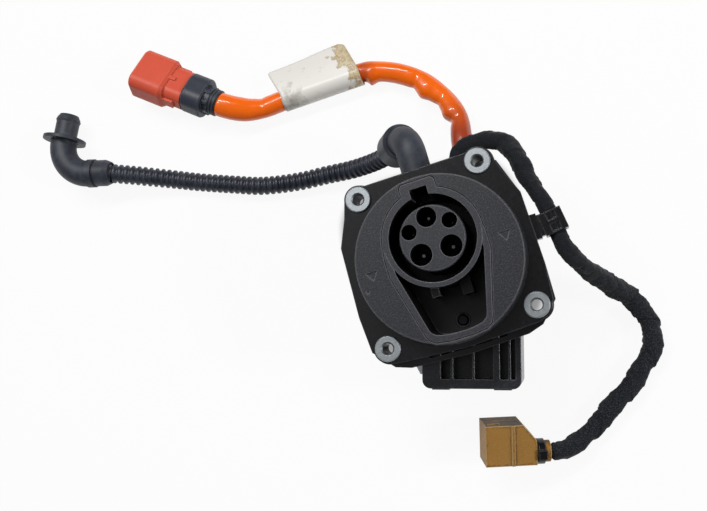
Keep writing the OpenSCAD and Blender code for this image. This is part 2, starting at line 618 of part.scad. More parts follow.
module hv_local() {
    translate(hv_at) rotate([0, 0, hv_turn]) rotate([hv_lean, 0, 0]) children();
}
module box_x(x0, x1, w, h, r) {
    translate([x0, 0, 0]) rotate([90, 0, 90]) linear_extrude(x1 - x0) round_rect(-w / 2, -h / 2, w / 2, h / 2, r);
}
module hv_connector_housing() color("#D9634A") hv_local() difference() {
    union() {
        hull() {
            box_x(0, 0.2, hood_w - 1.6, hood_h - 1.6, hood_edge - 0.8);
            box_x(1, 20.4, hood_w, hood_h, hood_edge);
            box_x(22.4, 22.6, hood_w - 3, hood_h - 3, hood_edge - 1.5);
        }
        box_x(22, 34, neck_w, hood_h - 4.4, 5.4);
        translate([20, -1.1, hood_h / 2 - 3]) cube([6.4, 2.2, 1.8]);
        translate([22, -neck_w / 2 - 1.3, -3.4]) cube([7.4, 2.6, 6]);
        translate([22, neck_w / 2 - 1.3, -3.4]) cube([7.4, 2.6, 6]);
    }
    box_x(-eps, 17, hood_w - 4.4, hood_h - 4.4, 4);
    for (y = [-6, 0, 6]) translate([5, y, 0]) rotate([0, 90, 0]) cylinder(r = 1.5 + hole_gap, h = 40);
}

module hv_contacts() color("#C9A24A") hv_local() for (y = [-6, 0, 6]) translate([0, y, 0]) rotate([0, 90, 0]) {
    translate([0, 0, 9]) cylinder(r1 = 0.9, r2 = 1.5, h = 2);
    translate([0, 0, 11]) cylinder(r = 1.5, h = 22);
}

module hv_connector_collar() color("#3F4349") hv_local() difference() {
    union() {
        hull() {
            box_x(34, 34.2, hv_collar_w - 1.6, hood_h - 1.6, 7.2);
            box_x(35, 46, hv_collar_w, hood_h, 8);
            box_x(46.8, 47, hv_collar_w - 1.2, hood_h - 1.2, 7.4);
        }
        translate([46, 0, 0]) rotate([0, 90, 0]) cylinder(r = 8.2, h = 4.6);
        for (a = [0 : 45 : 315]) rotate([a, 0, 0]) translate([46.5, -0.9, 7.6]) cube([3.6, 1.8, 1.5]);
    }
    translate([37, 0, 0]) rotate([0, 90, 0]) cylinder(r = cable_r + 0.3, h = 20);
}

module hv_strain_relief() color("#232428") hv_local() translate([50.6, 0, 0]) rotate([0, 90, 0]) difference() {
    union() {
        cylinder(r = 7.5, h = 4.6);
        for (z = [0.8, 2.9]) translate([0, 0, z]) cylinder(r = 8, h = 1.1);
    }
    translate([0, 0, -eps]) cylinder(r = cable_r + 0.3, h = 9);
}

module cable_label() color("#DAD6CE") translate([-69, 114.5, label_z]) rotate([90, 0, 90]) linear_extrude(49) difference() {
    union() {
        circle(r = cable_r + 0.7);
        rotate([0, 0, -16]) translate([0, cable_r + 0.1]) square([20, 0.5]);
    }
    circle(r = cable_r + 0.2);
}

module signal_harness() color("#1D1D21") tube(harness_route, harness_r);

module harness_clip() color("#232327") difference() {
    union() {
        translate([lug_x, -14, skirt_z + 0.5]) cube([3, 11, 7]);
        translate(clip_at) rotate([0, 0, clip_turn]) translate([-6, -5.8, -6]) cube([12, 11.6, 12.2]);
    }
    translate(clip_at) rotate([0, 0, clip_turn]) {
        translate([0, 20, 0]) rotate([90, 0, 0]) cylinder(r = harness_r + 0.2, h = 40);
        for (s = [-1, 1]) translate([-2.2, s * 3 - 1.9, 5.3]) cube([4.8, 3.8, 4]);
    }
}

module sig_local() {
    multmatrix([[sig_x[0], sig_y[0], sig_z[0], sig_at[0]], [sig_x[1], sig_y[1], sig_z[1], sig_at[1]],
        [sig_x[2], sig_y[2], sig_z[2], sig_at[2]], [0, 0, 0, 1]]) children();
}
module plug_outline() {
    polygon([[-14, -11.2], [14, -11.2], [14, 2.4], [6.6, 11.2], [-14, 11.2]]);
}
module signal_connector_housing() color("#8A683C") sig_local() difference() {
    translate([0, 0, -20]) linear_extrude(8) plug_outline();
    translate([0, 0, -20 - eps]) linear_extrude(6 + eps) offset(delta = -1.6) plug_outline();
    for (x = [-8, 0, 8]) for (y = [-4, 4]) translate([x, y, -20]) cylinder(r = 0.6 + hole_gap, h = 12);
}

module signal_connector_cover() color("#957140") sig_local() difference() {
    union() {
        translate([0, 0, -12]) linear_extrude(12) plug_outline();
        translate([0.2, -11.2, 0]) cube([1.8, 22.4, 0.7]);
        translate([13, neck_y, neck_z]) rotate([0, 90, 0]) cylinder(r = 5.9, h = 9);
    }
    translate([6, neck_y, neck_z]) rotate([0, 90, 0]) cylinder(r = harness_r + 0.25, h = 20);
    translate([-11.6, 8.4, -6]) cube([6, 4, 2.6]);
}

module signal_contacts() color("#B9BDBF") sig_local() for (x = [-8, 0, 8]) for (y = [-4, 4])
    translate([x, y, -18.6]) cylinder(r = 0.6, h = 6.4);

module cable_tie() color("#131315") sig_local() translate([15, neck_y, neck_z]) rotate([0, 90, 0]) difference() {
    union() {
        cylinder(r = 7, h = 3.6);
        translate([-8.8, -2.6, -0.4]) cube([3, 5.2, 4.4]);
    }
    translate([0, 0, -eps]) cylinder(r = 5.9 + hole_gap, h = 6);
}

mounting_flange();
mounting_sleeves();
face_disc();
socket_housing();
socket_barrel();
collar_screws();
pin_carrier();
carrier_flange();
line_pins();
earth_pin();
signal_pins();
contact_retainer();
retainer_screws();
rear_housing();
rear_seal();
rear_screws();
rear_cap();
cap_screws();
cable_gland();
cable_seal();
harness_boot();
lock_actuator_housing();
lock_actuator_cover();
lock_cover_screws();
lock_drive();
lock_pin();
lock_pin_seal();
actuator_screws();
actuator_bracket();
drain_elbow();
hose_cuff();
drain_hose();
hose_end_sleeve();
drain_outlet();
hv_cable();
hv_connector_housing();
hv_connector_collar();
hv_strain_relief();
hv_contacts();
cable_label();
signal_harness();
harness_clip();
signal_connector_housing();
signal_connector_cover();
signal_contacts();
cable_tie();
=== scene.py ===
# %% [markdown]
# # Charge port inlet
# The inlet of an electric car, off the car: a round socket on a black mounting plate, with a
# drain hose, an orange power lead and a taped signal harness. The solids come from the packed
# model, in metres, and this lesson dresses them. The lock pin is the only piece that moves.

# %% Load the frame
import json
import math

import bpy
from mathutils import Matrix, Vector, noise

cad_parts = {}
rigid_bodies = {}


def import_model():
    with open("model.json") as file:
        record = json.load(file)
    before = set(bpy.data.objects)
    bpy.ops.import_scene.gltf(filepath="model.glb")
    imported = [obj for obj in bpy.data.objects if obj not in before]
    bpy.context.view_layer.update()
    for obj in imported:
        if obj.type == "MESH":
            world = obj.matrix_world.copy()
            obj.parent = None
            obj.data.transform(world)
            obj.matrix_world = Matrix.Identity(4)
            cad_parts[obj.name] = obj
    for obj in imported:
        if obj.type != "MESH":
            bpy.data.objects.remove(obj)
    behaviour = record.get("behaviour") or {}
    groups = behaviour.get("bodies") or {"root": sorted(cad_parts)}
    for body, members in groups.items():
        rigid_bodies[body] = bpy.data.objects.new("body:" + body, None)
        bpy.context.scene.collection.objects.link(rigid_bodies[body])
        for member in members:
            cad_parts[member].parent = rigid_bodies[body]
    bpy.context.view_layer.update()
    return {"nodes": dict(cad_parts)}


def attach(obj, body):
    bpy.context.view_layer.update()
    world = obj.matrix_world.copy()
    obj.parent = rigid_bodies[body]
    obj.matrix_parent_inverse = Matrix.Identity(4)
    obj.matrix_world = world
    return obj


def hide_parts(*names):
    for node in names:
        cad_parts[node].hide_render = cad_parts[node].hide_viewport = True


for old in list(bpy.data.objects):
    bpy.data.objects.remove(old)
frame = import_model()
nodes = frame["nodes"]
mm = 0.001

# %% [markdown]
# ## Camera
# The photograph was taken from above, 0.58 m over the floor, with the plate turned a little in
# the picture. A camera can be aimed by a track, but three measured directions give the roll as
# well, so its matrix is written out. The lens is worked out for a picture 707 by 511 pixels.

# %% Camera
right = Vector((0.93790, -0.27872, -0.20654))
above = Vector((0.29666, 0.95303, 0.06103))
ahead = Vector((-0.17983, 0.11851, -0.97653))
stands_at = Vector((50.1, -56.5, 577.6)) * mm
picture_width = 707
focal_pixels = 1000
sensor_mm = 36
lens = bpy.data.cameras.new("camera")
lens.sensor_fit = "HORIZONTAL"
lens.sensor_width = sensor_mm
lens.lens = sensor_mm * focal_pixels / picture_width
lens.clip_start = 0.01
camera = bpy.data.objects.new("camera", lens)
bpy.context.scene.collection.objects.link(camera)
turn = Matrix((right, above, -ahead)).transposed().to_4x4()
camera.matrix_world = Matrix.Translation(stands_at) @ turn
bpy.context.scene.camera = camera
print("lens:", round(lens.lens, 2), "mm")

# %% [markdown]
# ## Lines of the three cords
# Each cord follows a few chosen points in millimetres. A Bezier curve with a round bevel would
# give a plain tube, but a corrugated hose and a lumpy taped bundle change their radius along the
# way, so the line is smoothed here and swept into a mesh ring by ring.

# %% Smooth lines
hose_points = [
    (-8.48, 58.6, 39.49), (-10.48, 58.6, 34.9), (-17, 58.8, 25.6), (-27.4, 59.4, 17),
    (-41, 60.9, 10), (-57, 63.3, 6.4), (-75, 65.2, 5.5), (-96, 69.5, 5.5), (-113, 75.8, 5.5),
    (-133.5, 84, 5.8), (-150, 91.2, 7.2), (-163, 96.6, 10.4), (-176.4, 102, 13.7),
    (-188.68, 106.66, 15.6), (-196.93, 109.08, 15.6),
]
cable_points = [
    (24, 27, 17), (24, 37, 17), (24, 46, 17), (25.2, 56, 15.6), (26.6, 66, 12.2),
    (25.6, 75.6, 9.2),
    (21.2, 85.8, 7.4), (13, 97.4, 6.8), (1.2, 107.1, 6.9), (-10.8, 112.7, 7.2), (-19, 114.5, 7.2),
    (-36, 114.5, 7.2), (-53, 114.5, 7.2), (-70, 114.5, 7.2), (-82, 114.4, 7.5), (-91, 115.6, 9.2),
    (-98.6, 118.6, 11.6), (-105.08, 122.77, 12.93), (-110.47, 127.23, 12.93),
    (-116.64, 132.33, 12.93),
]
harness_points = [
    (20, 27, 37), (20, 35, 37), (21, 41.4, 37.4), (25.6, 46, 38.8), (33, 47.2, 41.4),
    (41, 45.4, 44.4), (47.4, 40.6, 47.8), (50.8, 32, 52), (53.4, 18, 58.6), (57.35, 3.4, 63.5),
    (58.9, -8.5, 63.5), (60.45, -20.4, 63.5), (63.2, -28, 57.5), (68, -35, 46), (75, -42.6, 31),
    (83.4, -52, 17), (90, -61.6, 8.6), (93.2, -74, 5.8), (88.6, -87, 5.8), (77, -98.6, 5.8),
    (63, -108, 5.8), (52.4, -115.4, 5.8), (43.4, -121, 6.2), (35.2, -124.4, 8.2),
    (27.06, -125.05, 11.13), (13.89, -121.76, 14.57),
]
cuts_between = 24


def smooth_line(points, step):
    """A line through the points in metres, cut again into even steps."""
    p = [Vector(q) * mm for q in points]
    fine = []
    for i in range(len(p) - 1):
        a, b, c, d = p[max(i - 1, 0)], p[i], p[i + 1], p[min(i + 2, len(p) - 1)]
        for k in range(cuts_between):
            t = k / cuts_between
            bend = 2 * a - 5 * b + 4 * c - d
            twist = 3 * b - a - 3 * c + d
            fine.append(0.5 * (2 * b + (c - a) * t + bend * t * t + twist * t ** 3))
    fine.append(p[-1])
    reach = [0.0]
    for q, r in zip(fine, fine[1:]):
        reach.append(reach[-1] + (r - q).length)
    count = round(reach[-1] / step)
    line = []
    k = 0
    for i in range(count + 1):
        s = reach[-1] * i / count
        while k < len(fine) - 2 and reach[k + 1] < s:
            k += 1
        part = (s - reach[k]) / max(reach[k + 1] - reach[k], 1e-9)
        line.append(fine[k].lerp(fine[k + 1], min(part, 1)))
    return line, reach[-1]


hose_line, hose_length = smooth_line(hose_points, 0.3 * mm)
cable_line, cable_length = smooth_line(cable_points, 0.8 * mm)
harness_line, harness_length = smooth_line(harness_points, 0.6 * mm)
for name, length in (("hose", hose_length), ("cable", cable_length), ("harness", harness_length)):
    print(name, round(length * 1000), "mm")

# %% [markdown]
# ## Sweeping a ring along a line
# A ring of points is carried along the line without twisting: each ring's first direction is the
# last one, laid flat on the new heading. The map called wrap keeps the way round and the way
# along for materials that follow the cord, counted in lengths of 100 mm. A cord that lies on the
# floor is pressed flat there.

# %% Sweep
wrap_unit = 100 * mm


def sweep(name, line, radius, sides):
    """A closed tube; radius(s, a) is in metres at s along the line and angle a round it."""
    count = len(line)
    side = Vector((0.3, 0.2, 0.93))
    verts, s = [], 0.0
    along = []
    for i, centre in enumerate(line):
        heading = (line[min(i + 1, count - 1)] - line[max(i - 1, 0)]).normalized()
        side = (side - side.dot(heading) * heading).normalized()
        other = heading.cross(side)
        if i:
            s += (centre - line[i - 1]).length
        along.append(s)
        for k in range(sides):
            a = 2 * math.pi * k / sides
            point = centre + radius(s, a) * (math.cos(a) * side + math.sin(a) * other)
            point.z = max(point.z, 0)
            verts.append(point)
    faces = []
    for i in range(count - 1):
        for k in range(sides):
            n = (k + 1) % sides
            faces.append((i * sides + k, i * sides + n, (i + 1) * sides + n, (i + 1) * sides + k))
    faces.append(tuple(range(sides - 1, -1, -1)))
    faces.append(tuple((count - 1) * sides + k for k in range(sides)))
    mesh = bpy.data.meshes.new(name)
    mesh.from_pydata(verts, [], faces)
    wrap = mesh.uv_layers.new(name="wrap")
    for f in mesh.polygons[: (count - 1) * sides]:
        k = f.index % sides
        i = f.index // sides
        corners = ((k, i), (k + 1, i), (k + 1, i + 1), (k, i + 1))
        for loop, (u, v) in zip(f.loop_indices, corners):
            wrap.data[loop].uv = (u / sides, along[v] / wrap_unit)
    mesh.shade_smooth()
    piece = bpy.data.objects.new(name, mesh)
    bpy.context.scene.collection.objects.link(piece)
    print(name, len(mesh.polygons), "faces")
    return piece


# %% [markdown]
# ## Drain hose
# A thin-walled polypropylene hose, blown into a mould with a rib every 3.65 mm. A texture could
# draw the ribs, but their outline shows at the hose's edge, so they are in the mesh.

# %% Drain hose
rib_pitch = 3.65 * mm
rib_height = 0.58
rib_squareness = 2.6


def ease(s, start, end):
    """0 before start, 1 after end, in millimetres along a cord."""
    t = min(max((s / mm - start) / (end - start), 0), 1)
    return t * t * (3 - 2 * t)


def hose_radius(s, a):
    """Ribs with flat tops, the same all round; the hose widens a little towards the outlet."""
    rib = math.tanh(rib_squareness * math.sin(2 * math.pi * s / rib_pitch) + 0.3)
    return (4.9 + 0.35 * ease(s, 130, 185) + rib_height * rib) * mm


drain_hose = sweep("ribbed_drain_hose", hose_line, hose_radius, 24)
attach(drain_hose, "inlet")
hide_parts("drain_hose")

# %% [markdown]
# ## Orange power lead
# Three wires lie in a loose, glossy orange tube. It is pulled tight where it leaves the inlet and
# ends wide and cut square behind the connector. Inside its bend the spare length gathers in three
# bulges with folds between them, so the radius follows a few places along and round the lead. A
# bulge is given by its place, half width and height in millimetres, and a fold by its place, half
# width, depth and the angle that it faces.

# %% Power lead
inner_side = 4.24
bulges = [(49, 4.5, 1.6), (71, 5.0, 2.4), (107, 3.4, 2.6)]
folds = [
    (42, 3.0, 1.3, 4.5), (59, 2.6, 0.8, 4.4), (79, 2.0, 0.7, 4.7), (113, 1.6, 0.5, 4.6),
    (176, 2.4, 0.6, 0.6),
]


def dip(s, at, width):
    """1 at one place along a cord, falling to 0 on both sides."""
    return math.exp(-(((s / mm - at) / width) ** 2))


def facing(a, way, power):
    """1 where the angle faces that way, 0 on the far side."""
    return (0.5 + 0.5 * math.cos(a - way)) ** power


def cable_radius(s, a):
    """Narrow after the inlet, wide at the cut end, with a slight ripple, bulges and folds."""
    r = 6.3 - 0.5 * ease(s, 26, 40) + 0.4 * ease(s, 118, 128)
    r += 0.95 * ease(s, 176, 192) - 0.8 * ease(s, 202.5, 203.3)
    loose = ease(s, 30, 44) * (1 - ease(s, 196, 202))
    r += 0.14 * math.sin(s / mm / 6.1 + 2 * math.sin(a)) * loose
    r += 0.16 * math.cos(2 * a + s / mm / 19)
    for at, width, size in bulges:
        r += size * dip(s, at, width) * facing(a, inner_side, 1.6)
    for at, width, size, way in folds:
        r -= size * dip(s, at, width) * facing(a, way, 1)
    return r * mm


power_lead = sweep("orange_power_lead", cable_line, cable_radius, 36)
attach(power_lead, "inlet")
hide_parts("hv_cable")

# %% [markdown]
# ## Signal harness
# The small wires are bound with black cloth tape, wound with each turn half over the last. Each
# turn leaves a step as thick as the tape, and the bundle is lumpy under it. It is thick near the
# inlet, thin at the clip and thickest where it lies on the floor, with a second, wider winding, and
# thin again in the connector.

# %% Signal harness
tape_turn = 9.5
tape_step = 0.4
wide_turn = 24
wide_step = 1.1
harness_end = harness_length / mm


def harness_radius(s, a):
    """The bundle's own size, the steps of both windings, and lumps that calm at clip and end."""
    x = s / mm
    r = 4.7 + 0.45 * ease(s, 14, 24) - 0.75 * ease(s, 62, 78)
    r += 0.95 * ease(s, 128, 160) - 1.1 * ease(s, harness_end - 9.5, harness_end - 8)
    r -= 0.3 * ease(s, harness_end - 42, harness_end - 41)
    turn_part = (x / tape_turn + 0.3 * math.sin(x / 23) + a / (2 * math.pi)) % 1
    r += tape_step * (turn_part - 0.5)
    wide_part = (x / wide_turn + 0.25 * math.sin(x / 31) + a / (2 * math.pi)) % 1
    on_floor = ease(s, 150, 166) * (1 - ease(s, harness_end - 22, harness_end - 14))
    r += wide_step * on_floor * (wide_part - 0.5)
    lumps = 0.34 * math.sin(x / 6.1 + 2.1 * math.sin(a + 0.4) + 1.3 * math.sin(x / 17))
    lumps += 0.26 * math.sin(x / 3.7 + 2 * a + 0.9 * math.sin(x / 9))
    lumps += 0.5 * noise.noise((x / 4.5, 1.6 * math.cos(a), 1.6 * math.sin(a)))
    lumps += 0.25 * noise.noise((x / 1.7, 3.2 * math.cos(a), 3.2 * math.sin(a)))
    calm = dip(s, 101, 12) + ease(s, harness_end - 11, harness_end - 8)
    r += lumps * (1 - 0.8 * calm)
    return r * mm


signal_harness = sweep("taped_signal_harness", harness_line, harness_radius, 36)
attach(signal_harness, "inlet")
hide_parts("signal_harness")

# %% [markdown]
# ## Label
# A film label is folded round the lead, and its two ends are stuck back to back as a flag. Its
# profile is drawn once, over the flag, round the lead and back, and then repeated along X with a
# small wave and rounded corners. Solidify gives the strip its thickness.

# %% Label
tilt = math.radians(-16)
flag_way = Vector((0, math.cos(tilt), math.sin(tilt)))
flag_out = Vector((0, -math.sin(tilt), math.cos(tilt)))
lead_axis = Vector((0, 114.5, 7.2))
wrap_r = 6.85
flag_length = 20
corner_r = 3
flag_lean = 0.25
flag_taper = 0.14
film_thickness = 0.25 * mm


def label_profile():
    """Pairs of (way along the flag, height over the lead's axis) in millimetres."""
    pairs = []
    for k in range(16):
        pairs.append((flag_length - 1.25 * k, wrap_r + 0.45 * math.sin(math.pi * k / 16)))
    for k in range(41):
        phi = math.radians(318 * k / 40)
        pairs.append((-wrap_r * math.sin(phi), wrap_r * math.cos(phi)))
    pairs += [(5.9, 5.85), (7.4, 6.25)] + [(9 + 1.1 * k, 6.4) for k in range(11)]
    return pairs


def label_strip(name, x0, x1, columns):
    """The profile repeated from x0 to x1; the flag leans and is shorter at its left end."""
    pairs = label_profile()
    verts = []
    for d, h in pairs:
        edge = max(d - (flag_length - corner_r), 0)
        inset = corner_r - math.sqrt(max(corner_r * corner_r - edge * edge, 0))
        for k in range(columns + 1):
            x = x0 + 0.4 * inset + (x1 - x0 - 1.4 * inset) * k / columns
            lift = 0.3 * math.sin(x / 6.5) * max(d, 0) / flag_length
            short = max(d, 0) * (1 - flag_taper * (1 - k / columns))
            p = lead_axis + flag_way * min(d, short) + flag_out * (h + lift)
            verts.append(Vector((x - flag_lean * max(d, 0), p.y, p.z)) * mm)
    faces = []
    row = columns + 1
    for i in range(len(pairs) - 1):
        for k in range(columns):
            a = i * row + k
            faces.append((a, a + 1, a + row + 1, a + row))
    mesh = bpy.data.meshes.new(name)
    mesh.from_pydata(verts, [], faces)
    mesh.shade_smooth()
    strip = bpy.data.objects.new(name, mesh)
    bpy.context.scene.collection.objects.link(strip)
    thick = strip.modifiers.new("film", "SOLIDIFY")
    thick.thickness = film_thickness
    thick.offset = 0
    print(name, len(faces), "faces")
    return strip


label = label_strip("film_label", -69, -20, 36)
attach(label, "inlet")
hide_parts("cable_label")

# %% [markdown]
# ## Colours and nodes
# Colours are written as they look on a screen and turned to linear light once. One function adds
# a node: settings go to its own fields or its inputs, and links join its inputs to other nodes.

# %% Helpers for materials
def linear(code):
    """An sRGB hex colour as linear red, green, blue and alpha."""
    parts = [int(code[i:i + 2], 16) / 255 for i in (1, 3, 5)]
    return [c / 12.92 if c <= 0.04045 else ((c + 0.055) / 1.055) ** 2.4 for c in parts] + [1]


def add(tree, kind, settings=(), links=()):
    """A node with its settings, by field, input name or input number, and its incoming links."""
    node = tree.nodes.new(kind)
    for key, value in dict(settings).items():
        if isinstance(key, str) and hasattr(node, key):
            setattr(node, key, value)
        else:
            node.inputs[key].default_value = value
    for key, source in dict(links).items():
        tree.links.new(source, node.inputs[key])
    return node


def fresh(name, settings):
    """A new material: its node tree, and its shader with the settings that hold all over."""
    material = bpy.data.materials.new(name)
    material.use_nodes = True
    tree = material.node_tree
    tree.nodes.clear()
    shader = add(tree, "ShaderNodeBsdfPrincipled", settings)
    add(tree, "ShaderNodeOutputMaterial", {}, {"Surface": shader.outputs[0]})
    return material, tree, shader


def per_mm(size):
    """The scale that gives a pattern of this size in millimetres."""
    return 1 / (size * mm)


# %% [markdown]
# ## Soil and painted shade on a plastic
# The tan connector has lain in dirt. One dark colour goes on in three layers: painted shade on the
# side that faces the inlet, from the surface's direction; painted shade in the nooks, from how
# closed in a place is; and dirt in specks beside the edges, from a rounded normal that differs from
# the flat one near an edge.

# %% Soil
nook_reach = 2.5 * mm
edge_reach = 2.4 * mm


def soil_and_shade_over(tree, tone, soil_and_shade, clouds, scuffs, flat):
    """The tone with painted shade on one side and in nooks, and dirt in specks beside edges."""
    way = add(tree, "ShaderNodeSeparateXYZ", {}, {0: flat.outputs["Normal"]})
    # Painted shade on faces turned towards +Y, the side towards the inlet.
    shaded_face = add(
        tree, "ShaderNodeMapRange", {"From Min": 0.6, "From Max": 0.9, "To Max": 1.3},
        {"Value": way.outputs["Y"]},
    )
    shaded_side = add(
        tree, "ShaderNodeMath", {"operation": "MULTIPLY"},
        {0: shaded_face.outputs[0], 1: clouds.outputs[0]},
    )
    # Painted shade in nooks, where the surface is closed in.
    nook = add(tree, "ShaderNodeAmbientOcclusion", {"samples": 6, "Distance": nook_reach})
    nook_shade = add(
        tree, "ShaderNodeMapRange", {"From Min": 0.9, "From Max": 0.5, "To Max": 0.95},
        {"Value": nook.outputs["AO"]},
    )
    beside = add(tree, "ShaderNodeBevel", {"samples": 4, "Radius": edge_reach})
    lean = add(
        tree, "ShaderNodeVectorMath", {"operation": "DOT_PRODUCT"},
        {0: beside.outputs[0], 1: flat.outputs["Normal"]},
    )
    by_edge = add(
        tree, "ShaderNodeMapRange", {"From Min": 0.999, "From Max": 0.97, "To Max": 1},
        {"Value": lean.outputs["Value"]},
    )
    specks = add(
        tree, "ShaderNodeMapRange", {"From Min": 0.48, "From Max": 0.56, "To Max": 0.9},
        {"Value": scuffs.outputs[0]},
    )
    spotted = add(
        tree, "ShaderNodeMath", {"operation": "MULTIPLY"},
        {0: by_edge.outputs[0], 1: specks.outputs[0]},
    )
    for layer in (shaded_side, nook_shade, spotted):
        tone = add(
            tree, "ShaderNodeMix", {"data_type": "RGBA", 7: linear(soil_and_shade)},
            {0: layer.outputs[0], 6: tone.outputs[2]},
        )
    return tone


print("soil reaches", round(edge_reach / mm, 1), "mm from an edge")

# %% [markdown]
# ## Moulded plastics
# Most pieces are injection moulded nylon or PBT. The tool's eroded surface gives a fine grain,
# handling gives cloudy shine, and corners are a little rounded; their paler colour is partly rubbed
# wear and partly a painted highlight. The grain is about 0.3 mm on the tool and is drawn 0.4 to
# 0.8 mm here, because a finer one would not show in the picture; its pale flecks are partly grain
# and partly painted glitter. The socket is painted darker below its rim, as painted shade in its
# well, so the colour follows the height.

# %% Moulded plastic
corner_round = 0.8 * mm
# Painted shade in the socket's well: the colour darkens between these two heights.
shade_starts_below = 83.6 * mm
shade_full_below = 81.5 * mm


def moulded(name, colour, shade, rub_and_highlight, rough, grain, depth, level, well_shade=None, soil_and_shade=None):
    """colour and shade mix in clouds; the rub colour is wear and painted highlight on edges; grain
    is in mm; level is specular.
    """
    material, tree, shader = fresh(name, {"IOR": 1.5, "Specular IOR Level": level})
    place = add(tree, "ShaderNodeTexCoord").outputs["Object"]
    clouds = add(tree, "ShaderNodeTexNoise", {"Scale": per_mm(11), "Detail": 5}, {"Vector": place})
    grit = add(tree, "ShaderNodeTexNoise", {"Scale": per_mm(grain), "Detail": 2}, {"Vector": place})
    scuffs = add(
        tree, "ShaderNodeTexNoise", {"Scale": per_mm(2.2), "Detail": 6, "Roughness": 0.75},
        {"Vector": place},
    )
    tone = add(
        tree, "ShaderNodeMix", {"data_type": "RGBA", 6: linear(shade), 7: linear(colour)},
        {0: clouds.outputs[0]},
    )
    # Pale flecks of the grain: partly grain colour, partly painted glitter.
    flecks = add(
        tree, "ShaderNodeMapRange", {"From Min": 0.45, "From Max": 0.75, "To Max": 0.6 * depth},
        {"Value": grit.outputs[0]},
    )
    tone = add(
        tree, "ShaderNodeMix", {"data_type": "RGBA", 7: linear(rub_and_highlight)},
        {0: flecks.outputs[0], 6: tone.outputs[2]},
    )
    # Painted shade: the socket's well is painted darker below its rim.
    if well_shade:
        height = add(tree, "ShaderNodeSeparateXYZ", {}, {0: place})
        well_shade_mask = add(
            tree, "ShaderNodeMapRange",
            {"From Min": shade_starts_below, "From Max": shade_full_below, "To Max": 1},
            {"Value": height.outputs["Z"]},
        )
        tone = add(
            tree, "ShaderNodeMix", {"data_type": "RGBA", 7: linear(well_shade)},
            {0: well_shade_mask.outputs[0], 6: tone.outputs[2]},
        )
    corner = add(tree, "ShaderNodeBevel", {"samples": 4, "Radius": corner_round})
    flat = add(tree, "ShaderNodeNewGeometry")
    # The tan connector gets painted shade and dirt specks in one dark colour.
    if soil_and_shade:
        tone = soil_and_shade_over(tree, tone, soil_and_shade, clouds, scuffs, flat)
    # Paler edges: partly rubbed wear in scuffed patches, partly a painted highlight on the rounded
    # corners.
    turn = add(
        tree, "ShaderNodeVectorMath", {"operation": "DOT_PRODUCT"},
        {0: corner.outputs[0], 1: flat.outputs["Normal"]},
    )
    edge = add(
        tree, "ShaderNodeMapRange", {"From Min": 0.995, "From Max": 0.88, "To Max": 1.6},
        {"Value": turn.outputs["Value"]},
    )
    worn_and_highlit = add(
        tree, "ShaderNodeMath", {"operation": "MULTIPLY"}, {0: edge.outputs[0], 1: scuffs.outputs[0]}
    )
    base = add(
        tree, "ShaderNodeMix", {"data_type": "RGBA", 7: linear(rub_and_highlight)},
        {0: worn_and_highlit.outputs[0], 6: tone.outputs[2]},
    )
    shine = add(
        tree, "ShaderNodeMapRange",
        {"From Min": 0.3, "From Max": 0.7, "To Min": rough - 0.07, "To Max": rough + 0.08},
        {"Value": scuffs.outputs[0]},
    )
    bump = add(
        tree, "ShaderNodeBump", {"Strength": depth, "Distance": 0.05 * mm},
        {"Height": grit.outputs[0], "Normal": corner.outputs[0]},
    )
    tree.links.new(base.outputs[2], shader.inputs["Base Color"])
    tree.links.new(shine.outputs[0], shader.inputs["Roughness"])
    tree.links.new(bump.outputs[0], shader.inputs["Normal"])
    print(name)
    return material


# %% [markdown]
# ## The plastics of this inlet
# One recipe serves them all with other numbers. The plate and the lock's box come from polished
# tools and shine, the face and the socket are eroded and dull, and the connectors are coloured
# PBT: red for high voltage, tan for signals.

# %% The plastics
# The third colour of each is the paler edge colour, partly rubbed wear and partly a painted
# highlight.
plate_nylon = moulded(
    "nylon_moulded_gloss_black", "#0E0E11", "#08080A", "#5C5D62", 0.22, 0.8, 0.08, 0.42
)
face_pbt = moulded(
    "pbt_moulded_eroded_grey", "#25262B", "#1D1E22", "#84848A", 0.4, 0.7, 0.38, 0.42
)
# The socket's darker inside colour is painted shade in its well.
socket_pbt = moulded(
    "pbt_moulded_socket", "#303136", "#27282C", "#84848A", 0.42, 0.7, 0.38, 0.42, well_shade="#09090B"
)
rear_nylon = moulded(
    "nylon_moulded_black", "#232428", "#18191C", "#6C6D73", 0.32, 0.6, 0.25, 0.4
)
lock_nylon = moulded(
    "nylon_moulded_lock_black", "#2A2B30", "#1B1C1F", "#8C8D92", 0.26, 0.8, 0.1, 0.45
)
red_pbt = moulded("pbt_moulded_red", "#DE5A40", "#D24F37", "#EE8368", 0.42, 0.4, 0.3, 0.3)
collar_nylon = moulded(
    "nylon_moulded_slate", "#373B46", "#2A2E38", "#70757F", 0.4, 0.4, 0.3, 0.35
)
tan_pbt = moulded(
    "pbt_moulded_tan", "#A67B3E", "#976C34", "#F0CE98", 0.46, 0.6, 0.2, 0.12, soil_and_shade="#2A2219"
)

# %% [markdown]
# ## Rubber and hose plastic
# The elbow, cuffs and outlet are moulded rubber: dull, soft at the edges, with pale dust in the
# dents. The hose is blown polypropylene, a little shinier on top of its ribs where it is rubbed.

